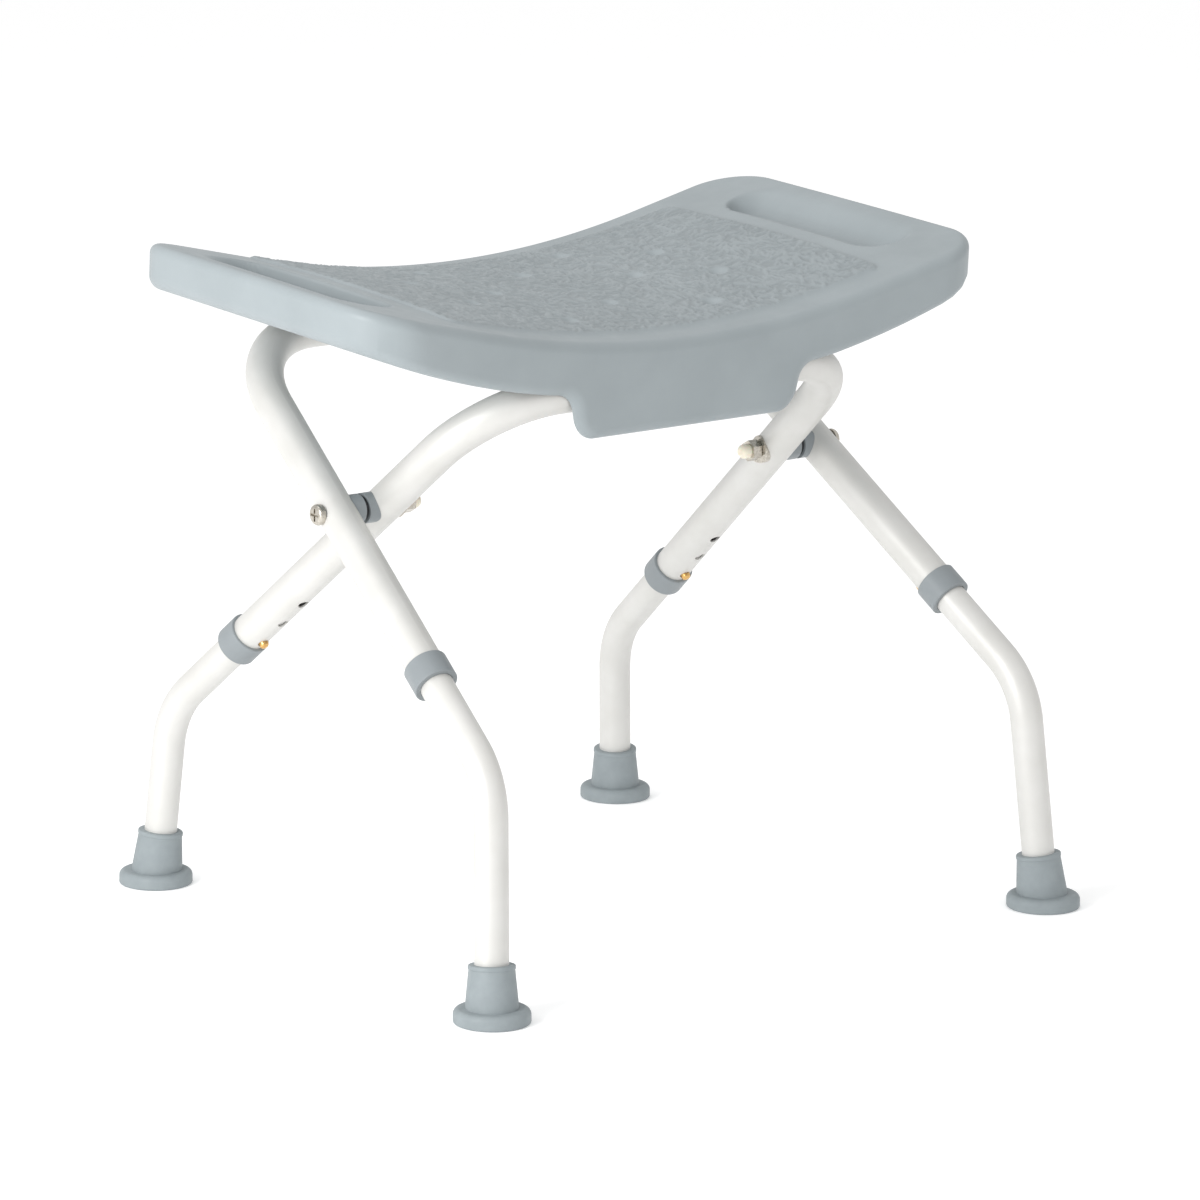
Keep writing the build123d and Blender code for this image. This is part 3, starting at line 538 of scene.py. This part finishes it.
class Shell:
    """The seat's points and faces as they are gathered, and which points never lie on a crease."""

    def __init__(self):
        self.points, self.quads, self.triangles, self.never_sharp = [], [], [], []
        self.count = 0

    def add(self, points, never_sharp):
        """Adds points and gives their numbers."""
        numbers = self.count + np.arange(len(points))
        self.points.append(points)
        self.never_sharp.append(np.broadcast_to(never_sharp, len(points)))
        self.count += len(points)
        return numbers

    def add_top(self, strokes):
        """Adds the top face and its mouths. Gives its sheet and each drain's innermost loop."""
        top = Sheet(*top_lines(), rim_insets(), self.count)
        x, y = top.plan.T
        self.add(np.stack([x, y, top_height(x, y, top.inset, strokes)], 1), True)
        self.quads += top.ring_faces + [top.grid_faces(DRAINS, DIMPLE_PATCH)]
        mouths = []
        for drain in DRAINS:
            points, loops, faces = drain_rings(*drain, strokes, self.count)
            self.triangles += zip_hole(top, drain, DIMPLE_PATCH, loops[0], points[:DRAIN_SIDES])
            self.add(points, True)
            self.quads.append(faces)
            mouths.append(loops[-1])
        return top, mouths

    def add_underside(self, mouths):
        """Adds the underside and the drains' bores. Gives its sheet and its sideways shifts."""
        below = Sheet(*bottom_lines(), rim_insets(slot_insets()), self.count)
        x, y = below.plan.T
        shift = apron_shift(x, below.inset, y)
        outside_slots = below.inset < REST_SLOT[0] + HALF_Y - 2 * HAIR
        self.add(np.stack([x + shift, y, bottom_height(x, y, below.inset)], 1), outside_slots)
        under = below.ring_faces + [below.grid_faces(DRAINS, HOLE_PATCH)]
        self.quads += [faces[:, ::-1] for faces in under]
        for drain, mouth in zip(DRAINS, mouths):
            px, py = drain_circle(*drain, DRAIN_R)
            points = np.stack([px, py, underside(px)], 1)
            loop = self.add(points, False)
            hole = zip_hole(below, drain, HOLE_PATCH, loop, points)
            self.triangles += [face[::-1] for face in hole]
            self.quads.append(strip(loop, mouth))
        return below, shift

    def add_side(self, top, below, shift):
        """Joins the two sheets' outlines by the rim's side wall."""
        every = np.concatenate(self.points)
        low = self.add(every[below.outline] + [0, 0, WALL_STEP], True)
        high = self.add(every[top.outline] - [0, 0, WALL_STEP], True)
        self.quads += [strip(low, below.outline), strip(top.outline, high)]
        low_turn = below.turn + shift[below.outline - below.first] / below.length
        self.triangles += zip_loops(low, high, low_turn, top.turn)


def build_mesh(name, points, faces):
    """A mesh object with only the points that its faces use."""
    used = np.unique(np.concatenate([np.ravel(f) for f in faces]))
    place = np.full(len(points), -1)
    place[used] = np.arange(len(used))
    mesh = bpy.data.meshes.new(name)
    listed = [tuple(int(place[v]) for v in face) for group in faces for face in group]
    mesh.from_pydata([tuple(p) for p in points[used]], [], listed)
    mesh.update()
    thing = bpy.data.objects.new(name, mesh)
    bpy.context.scene.collection.objects.link(thing)
    return thing, used


def soften(mesh, angle, always_smooth=None):
    """Smooth shading but for edges sharper than an angle, unless both ends are always_smooth."""
    mesh.shade_smooth()
    mesh.set_sharp_from_angle(angle=angle)
    if always_smooth is None:
        return
    ends = np.zeros(len(mesh.edges) * 2, int)
    mesh.edges.foreach_get("vertices", ends)
    keep = always_smooth[ends.reshape(-1, 2)].all(1)
    attribute = mesh.attributes["sharp_edge"].data
    sharp = np.zeros(len(mesh.edges), bool)
    attribute.foreach_get("value", sharp)
    attribute.foreach_set("value", sharp & ~keep)


def make_seat():
    """The moulded seat, which stands for the frame's plain one."""
    strokes = stroke_map()
    gathered = Shell()
    top, mouths = gathered.add_top(strokes)
    below, shift = gathered.add_underside(mouths)
    gathered.add_side(top, below, shift)
    x, y, z = np.concatenate(gathered.points).T
    # Painted shade in the valleys between the panel's ridges, on the top face only.
    light = np.where(z > dish(x) - TOP_SKIN, ridge_painted_shade(x, y, strokes), 1.0)
    tilt = radians(SEAT_TILT)
    row_y, row_z = SEAT_Y + y * cos(tilt) - z * sin(tilt), SEAT_Z + y * sin(tilt) + z * cos(tilt)
    faces = [np.concatenate(gathered.quads), np.array(gathered.triangles)]
    shell, used = build_mesh("seat_shell", np.stack([x, row_y, row_z], 1) * MM, faces)
    soften(shell.data, CREASE, np.concatenate(gathered.never_sharp)[used])
    # The painted shade goes to the material as a point attribute.
    painted_shade = shell.data.attributes.new(PAINTED_SHADE_ATTRIBUTE, "FLOAT", "POINT")
    painted_shade.data.foreach_set("value", light[used].astype(np.float32))
    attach(shell, "seat")
    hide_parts("seat")
    return shell


# ---- the snap buttons' clips --------------------------------------------------------------------

def lathe(profile, base, out):
    """Points and quads of a solid of (radius, height) pairs turned about the line out from base."""
    side = out.orthogonal().normalized()
    other = out.cross(side)
    turns = np.arange(HEAD_SIDES) * 2 * pi / HEAD_SIDES
    points = [base + out * height + (side * cos(t) + other * sin(t)) * radius
              for radius, height in profile for t in turns]
    loops = [k * HEAD_SIDES + np.arange(HEAD_SIDES) for k in range(len(profile))]
    faces = [strip(upper, lower) for lower, upper in zip(loops, loops[1:])]
    return np.array(points), np.concatenate(faces)


def head_profile():
    """A button's (radius, height) pairs from its flange to its domed tip, which is at height 0."""
    back, front, inner_r = -HEAD_LENGTH, FLANGE_H - HEAD_LENGTH, FLANGE_R - HEAD_BEVEL
    pairs = [(AXIS_GAP, back), (inner_r, back), (FLANGE_R, HEAD_BEVEL + back)]
    pairs += [(FLANGE_R, front - HEAD_BEVEL), (inner_r, front), (HEAD_R, front)]
    for turn in np.linspace(0, pi / 2, DOME_STEPS):
        pairs.append((HEAD_R - DOME_R + DOME_R * cos(turn), DOME_R * (sin(turn) - 1)))
    return pairs + [(AXIS_GAP, 0.0)]


def clip_line():
    """The V spring's middle line: (outward, up the leg) pairs from the tube's middle."""
    corners = [(CLIP_FRONT, -CLIP_LEAF), (CLIP_FRONT, CLIP_LEAF), (0, CLIP_REACH)]
    corners = np.array(corners + [(CLIP_BACK, CLIP_LEAF), (CLIP_BACK, -CLIP_LEAF)], float)
    line = [corners[0]]
    for before, here, after in zip(corners, corners[1:], corners[2:]):
        start = here + (before - here) / np.linalg.norm(before - here) * CLIP_BEND
        end = here + (after - here) / np.linalg.norm(after - here) * CLIP_BEND
        for t in np.linspace(0, 1, BEND_STEPS):
            line.append(start * (1 - t) ** 2 + here * 2 * t * (1 - t) + end * t ** 2)
    return np.array(line + [corners[-1]])


def clip_strip(middle, out, up):
    """Points and faces of the V spring: a flat strip with bevelled edges, swept along its line."""
    line = clip_line()
    ahead = np.gradient(line, axis=0)
    ahead /= np.linalg.norm(ahead, axis=1)[:, None]
    across = np.stack([ahead[:, 1], -ahead[:, 0]], 1)
    wide, thick, bevel = CLIP_W / 2, CLIP_T / 2, CLIP_T / 4
    section = [(wide, thick - bevel), (wide - bevel, thick)]
    section += [(bevel - wide, thick), (-wide, thick - bevel)]
    section += [(-w, -t) for w, t in section]
    side = out.cross(up)
    points = [middle + out * (p[0] + n[0] * t) + up * (p[1] + n[1] * t) + side * w
              for p, n in zip(line, across) for w, t in section]
    count = len(section)
    loops = [k * count + np.arange(count) for k in range(len(line))]
    faces = [tuple(face) for a, b in zip(loops, loops[1:]) for face in strip(a, b)]
    return np.array(points), [faces, [tuple(loops[0]), tuple(loops[-1][::-1])]]


def button_tip(node, out):
    """The middle of the flat tip of a clip's button."""
    spots = np.array([v.co for v in node.data.vertices]) / MM
    reach = spots @ np.array(out)
    return Vector(spots[reach > reach.max() - TIP_DEPTH].mean(0))


def make_clip(frame, name, side, out, up):
    """A snap button: a domed head on its own body, and the V spring behind it, which stays on the
    leg.
    """
    node, press = f"{name}_button_clip_{side}", f"{name}_button_press_{side}"
    tip = button_tip(frame["nodes"][node], out)
    head, head_faces = lathe(head_profile(), tip, out)
    button, _ = build_mesh(f"{name}_button_head_{side}", head * MM, [head_faces])
    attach(button, f"{name}_button_{side}")
    middle = tip - out * (HEAD_LENGTH + CLIP_FRONT)
    leaf, leaf_faces = clip_strip(middle, out, up)
    spring, _ = build_mesh(f"{name}_button_spring_{side}", leaf * MM, leaf_faces)
    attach(spring, f"{name}_leg_{side}")
    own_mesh(spring)
    for piece in (button, spring):
        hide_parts(node)
        soften(piece.data, CREASE)
    return [(button, "brass_button"), (spring, "steel")]


def make_clips(frame):
    """Every snap button's pieces, each with its slot."""
    axes = {joint["name"]: Vector(joint["axis"]) for joint in frame["joints"]}
    made = []
    for name in ("outer", "inner"):
        for side in ("left", "right"):
            out, up = -axes[f"{name}_button_press_{side}"], axes[f"{name}_leg_slide_{side}"]
            made += make_clip(frame, name, side, out, up)
    return made


# ---- materials ----------------------------------------------------------------------------------

def linear(tone):
    """A tone's screen values turned into the renderer's linear values, by the sRGB curve."""
    parts = [value / 255 for value in tone]
    parts = [part / 12.92 if part <= 0.04045 else ((part + 0.055) / 1.055) ** 2.4 for part in parts]
    return (*parts, 1.0)


class Finish:
    """A Principled material with helpers for the noise that drives its colour, gloss and bump."""

    def __init__(self, name, metallic=0.0, specular=0.5):
        self.name = name
        self.material = bpy.data.materials.new(name)
        self.material.use_nodes = True
        self.nodes, self.links = self.material.node_tree.nodes, self.material.node_tree.links
        self.shader = self.nodes["Principled BSDF"]
        self.shader.inputs["Metallic"].default_value = metallic
        self.shader.inputs["Specular IOR Level"].default_value = specular
        self.place = self.nodes.new("ShaderNodeTexCoord").outputs["Object"]

    def noise(self, size, detail=3.0, stretch=(1, 1, 1)):
        """A noise with features of about size millimetres."""
        scaled = self.nodes.new("ShaderNodeMapping")
        scaled.inputs["Scale"].default_value = [s / (size * MM) for s in stretch]
        self.links.new(self.place, scaled.inputs["Vector"])
        texture = self.nodes.new("ShaderNodeTexNoise")
        texture.inputs["Scale"].default_value = 1.0
        texture.inputs["Detail"].default_value = detail
        self.links.new(scaled.outputs["Vector"], texture.inputs["Vector"])
        return texture.outputs["Fac"]

    def spread(self, value, low, high):
        """A noise's middle range mapped to low and high."""
        ranged = self.nodes.new("ShaderNodeMapRange")
        limits = {"From Min": 0.3, "From Max": 0.7, "To Min": low, "To Max": high}
        for limit, amount in limits.items():
            ranged.inputs[limit].default_value = amount
        self.links.new(value, ranged.inputs["Value"])
        return ranged.outputs["Result"]

    def colour(self, value):
        """The base colour, between the finish's two tones."""
        first, second = (linear(tone) for tone in TONES[self.name])
        mix = self.nodes.new("ShaderNodeMix")
        mix.data_type = "RGBA"
        self.links.new(self.spread(value, 0.0, 1.0), mix.inputs["Factor"])
        mix.inputs["A"].default_value, mix.inputs["B"].default_value = first, second
        self.links.new(mix.outputs["Result"], self.shader.inputs["Base Color"])

    def darken(self, attribute, shade):
        """The base colour, dimmed to a share of itself where a mesh attribute is 0."""
        source = self.shader.inputs["Base Color"].links[0].from_socket
        value = self.nodes.new("ShaderNodeAttribute")
        value.attribute_name = attribute
        ranged = self.nodes.new("ShaderNodeMapRange")
        ranged.inputs["To Min"].default_value = shade
        self.links.new(value.outputs["Fac"], ranged.inputs["Value"])
        scale = self.nodes.new("ShaderNodeVectorMath")
        scale.operation = "SCALE"
        self.links.new(source, scale.inputs[0])
        self.links.new(ranged.outputs["Result"], scale.inputs["Scale"])
        self.links.new(scale.outputs["Vector"], self.shader.inputs["Base Color"])

    def roughness(self, value, low, high):
        """The gloss, between two values."""
        self.links.new(self.spread(value, low, high), self.shader.inputs["Roughness"])

    def bump(self, value, depth, strength=1.0):
        """A fine relief of about depth millimetres."""
        bump = self.nodes.new("ShaderNodeBump")
        bump.inputs["Strength"].default_value = strength
        bump.inputs["Distance"].default_value = depth * MM
        self.links.new(value, bump.inputs["Height"])
        self.links.new(bump.outputs["Normal"], self.shader.inputs["Normal"])


def moulded_plastic(name, gloss, grain):
    """Matt moulded plastic: faint flow marks, a fine eggshell grain and uneven gloss."""
    finish = Finish(name, specular=0.4)
    finish.colour(finish.noise(size=45, detail=4))
    finish.roughness(finish.noise(size=12, detail=3), low=gloss - 0.04, high=gloss + 0.05)
    finish.bump(finish.noise(size=grain, detail=2), depth=0.05, strength=0.6)
    return finish


def seat_plastic():
    """The seat's moulded plastic, with painted shade between its panel's ridges."""
    finish = moulded_plastic("seat_plastic", gloss=0.46, grain=0.8)
    # Painted shade: the base colour is dimmed in the valleys between the ridges.
    finish.darken(PAINTED_SHADE_ATTRIBUTE, VALLEY_PAINTED_SHADE)
    return finish


def foot_rubber():
    """Vulcanised rubber: matt and slightly mottled."""
    finish = Finish("foot_rubber", specular=0.35)
    finish.colour(finish.noise(size=9, detail=5))
    finish.roughness(finish.noise(size=5, detail=3), low=0.52, high=0.66)
    finish.bump(finish.noise(size=0.7, detail=3), depth=0.08, strength=0.7)
    return finish


def anodised_aluminium():
    """Satin anodised tube: pale, with fine grain and soft patches in its gloss."""
    finish = Finish("aluminium_tube", metallic=0.25, specular=0.5)
    finish.colour(finish.noise(size=30, detail=4))
    finish.roughness(finish.noise(size=6, detail=4), low=0.42, high=0.52)
    finish.bump(finish.noise(size=0.45, detail=2), depth=0.02, strength=0.5)
    return finish


def turned_metal(name, low, high):
    """Bright turned or pressed metal with faint tool marks."""
    finish = Finish(name, metallic=1.0)
    finish.colour(finish.noise(size=2.0, detail=4))
    finish.roughness(finish.noise(size=1.2, detail=3), low, high)
    finish.bump(finish.noise(size=0.4, detail=3, stretch=(1, 1, 4)), depth=0.02, strength=0.5)
    return finish


def nylon_cap():
    """Ivory nylon, a little waxy."""
    finish = Finish("nylon_cap", specular=0.5)
    finish.colour(finish.noise(size=4, detail=3))
    finish.roughness(finish.noise(size=3, detail=3), low=0.32, high=0.42)
    finish.bump(finish.noise(size=0.6, detail=2), depth=0.03, strength=0.5)
    finish.shader.inputs["Subsurface Weight"].default_value = 0.15
    finish.shader.inputs["Subsurface Scale"].default_value = 0.002
    return finish


def make_materials():
    """Every finish's material by the record's slot name."""
    finishes = [
        seat_plastic(),
        moulded_plastic("grey_plastic", gloss=0.42, grain=0.6),
        foot_rubber(),
        anodised_aluminium(),
        turned_metal("steel", low=0.22, high=0.34),
        turned_metal("dark_steel", low=0.3, high=0.42),
        turned_metal("brass_button", low=0.2, high=0.32),
        nylon_cap(),
    ]
    return {finish.name: finish.material for finish in finishes}


def dress_nodes(frame, materials):
    """Gives every CAD node the finish of its slot in the record."""
    for thing in frame["nodes"].values():
        for slot in thing.material_slots:
            slot.material = materials[slot.material.name.split(".")[0]]


# ---- the studio ---------------------------------------------------------------------------------

def add_camera():
    """A long lens from the left of the user's side, a little above."""
    azimuth, height, roll = radians(CAMERA_AZIMUTH), radians(CAMERA_HEIGHT), radians(CAMERA_ROLL)
    back = Vector((sin(azimuth) * cos(height), -cos(azimuth) * cos(height), sin(height)))
    right = (-back).cross(Vector((0, 0, 1))).normalized()
    up = right.cross(-back)
    across = right * cos(roll) + up * sin(roll)
    upward = up * cos(roll) - right * sin(roll)
    data = bpy.data.cameras.new("camera")
    data.sensor_width = CAMERA_SENSOR
    data.lens = CAMERA_LENS
    camera = bpy.data.objects.new("camera", data)
    turn = Matrix((across, upward, back)).transposed().to_4x4()
    camera.matrix_world = Matrix.Translation(Vector(CAMERA_PLACE) * MM) @ turn
    bpy.context.scene.collection.objects.link(camera)
    bpy.context.scene.camera = camera


def add_light(name, place, size, power):
    """A soft square light that faces the stool."""
    data = bpy.data.lights.new(name, "AREA")
    data.size, data.energy = size, power
    light = bpy.data.objects.new(name, data)
    light.location = place
    light.rotation_euler = (Vector(LIGHT_AIM) - Vector(place)).to_track_quat("-Z", "Y").to_euler()
    bpy.context.scene.collection.objects.link(light)


def add_studio():
    """An even white surround, soft lights from the left and above, and a white floor."""
    world = bpy.data.worlds.new("surround")
    world.use_nodes = True
    world.node_tree.nodes["Background"].inputs["Color"].default_value = (1.0, 1.0, 1.0, 1.0)
    world.node_tree.nodes["Background"].inputs["Strength"].default_value = SURROUND
    bpy.context.scene.world = world
    bpy.context.scene.view_settings.view_transform = "Standard"
    add_light("key", place=(-1.75, -0.35, 0.75), size=0.7, power=20)
    add_light("top", place=(-0.4, 0.6, 2.4), size=1.6, power=12)
    add_floor()


def add_floor():
    """A wide white floor that glows a little."""
    mesh = bpy.data.meshes.new("floor")
    corners = [(x * FLOOR_HALF, y * FLOOR_HALF, 0) for x, y in ((-1, -1), (1, -1), (1, 1), (-1, 1))]
    mesh.from_pydata(corners, [], [(0, 1, 2, 3)])
    floor = bpy.data.objects.new("floor", mesh)
    bpy.context.scene.collection.objects.link(floor)
    finish = Finish("floor", specular=0.1)
    finish.shader.inputs["Base Color"].default_value = (FLOOR_WHITE, FLOOR_WHITE, FLOOR_WHITE, 1.0)
    finish.shader.inputs["Roughness"].default_value = 0.9
    finish.shader.inputs["Emission Color"].default_value = (1.0, 1.0, 1.0, 1.0)
    finish.shader.inputs["Emission Strength"].default_value = FLOOR_GLOW
    mesh.materials.append(finish.material)


def main():
    """Builds the stool's looks round the frame."""
    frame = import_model()
    add_camera()
    add_studio()
    materials = make_materials()
    dress_nodes(frame, materials)
    shell = make_seat()
    shell.data.materials.append(materials["seat_plastic"])
    for piece, slot in make_clips(frame):
        piece.data.materials.append(materials[slot])


main()
